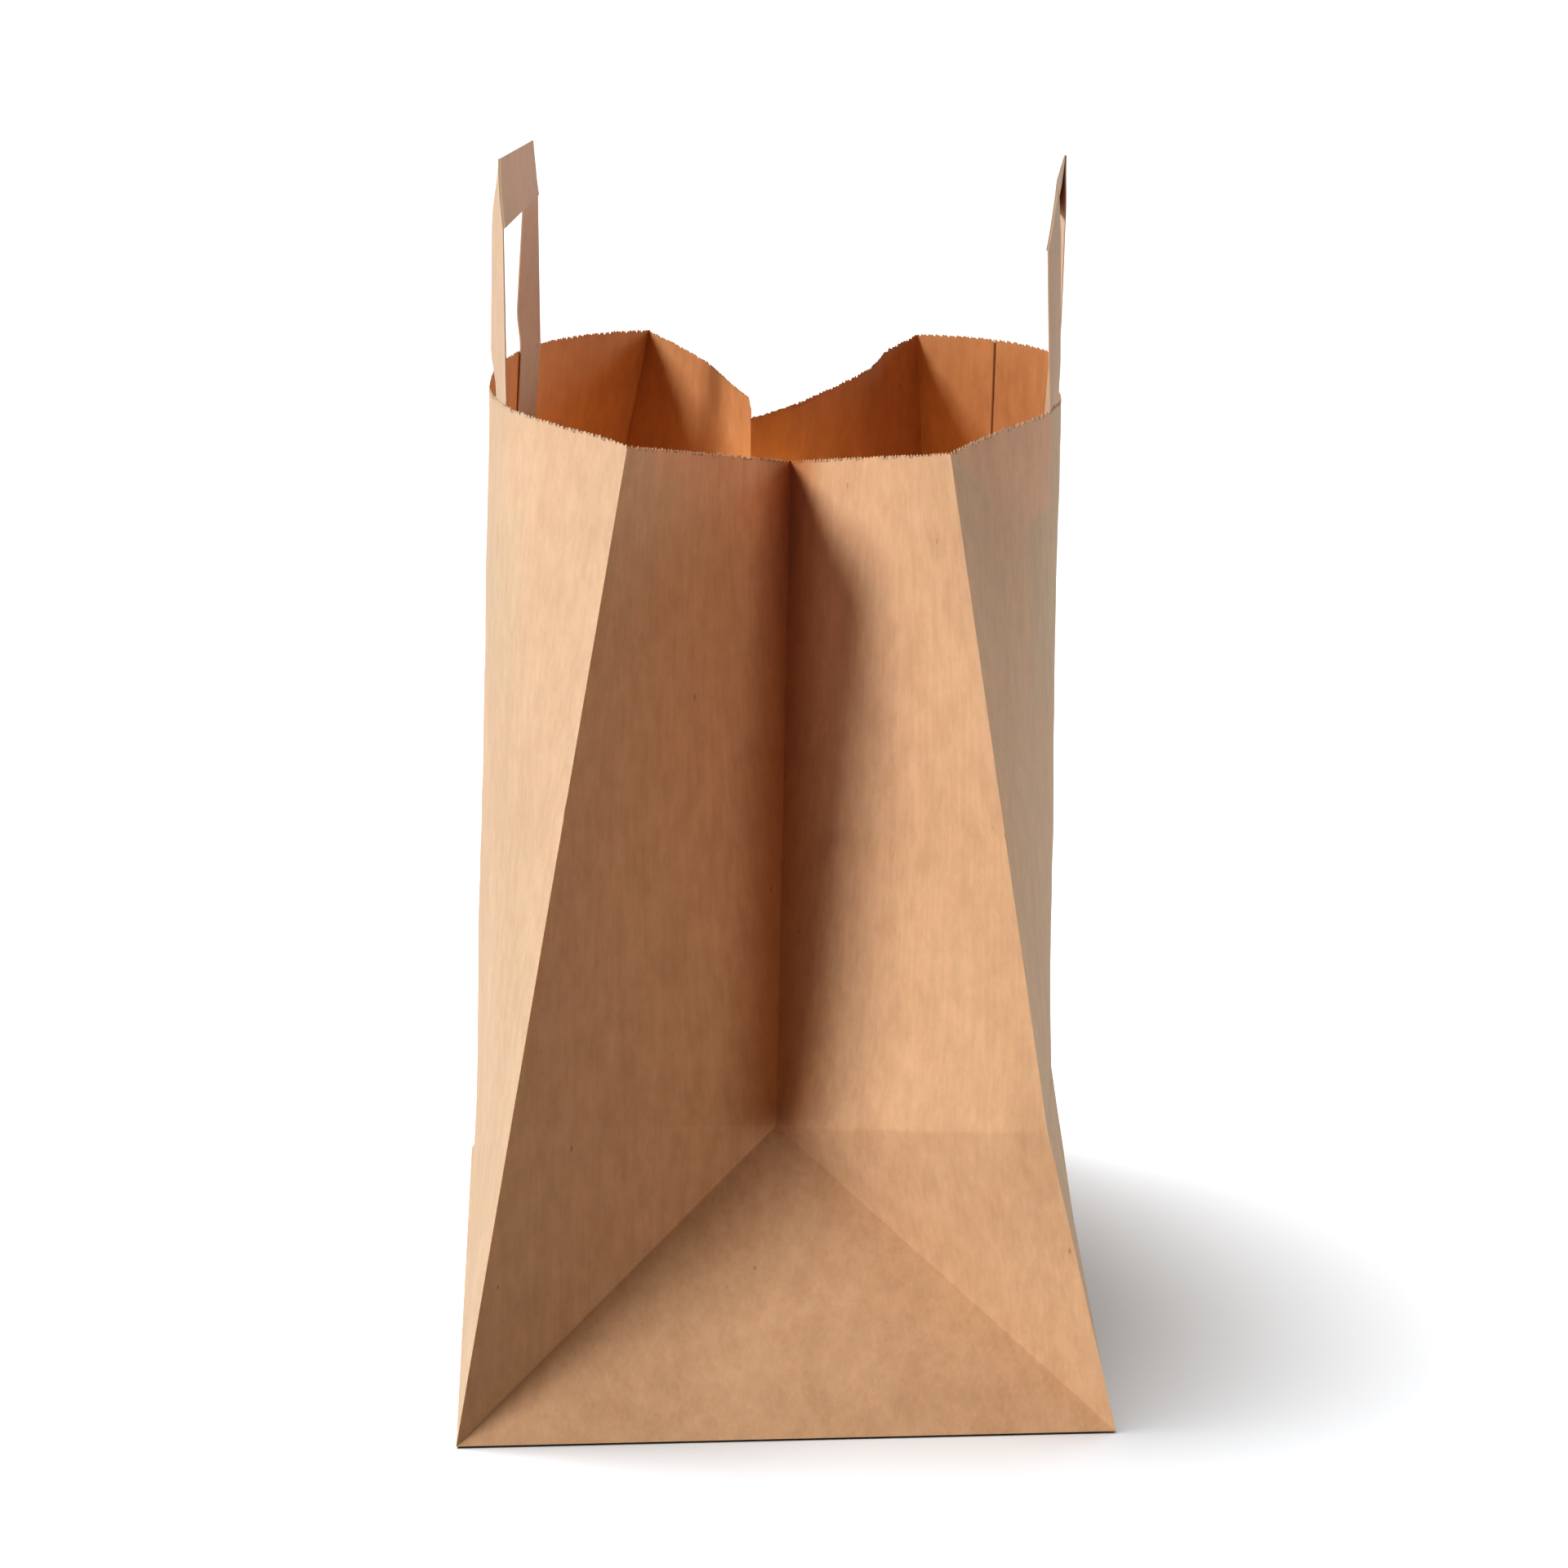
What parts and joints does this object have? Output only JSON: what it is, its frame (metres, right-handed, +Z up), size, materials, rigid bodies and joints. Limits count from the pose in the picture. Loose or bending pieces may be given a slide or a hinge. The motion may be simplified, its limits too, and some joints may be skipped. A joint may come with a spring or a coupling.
{
  "type": "paper carrier bag",
  "caption": "Open block-bottom kraft paper carrier bag with folded-in gussets, a saw-toothed rim and flat folded paper handles.",
  "frame": {"origin": "centre of the base, on the surface that the bag stands on", "axes": "+Z up, +X towards the back panel with the packing crease, +Y along the wide panels"},
  "size_m": [0.1725, 0.25, 0.3212],
  "materials": {
    "kraft": "matte",
    "handle_paper": "matte",
    "patch_paper": "matte"
  },
  "bodies": {
    "root": {"bag_body": "kraft", "handle_front": "handle_paper", "handle_back": "handle_paper", "patch_front": "patch_paper", "patch_back": "patch_paper"}
  },
  "joints": []
}
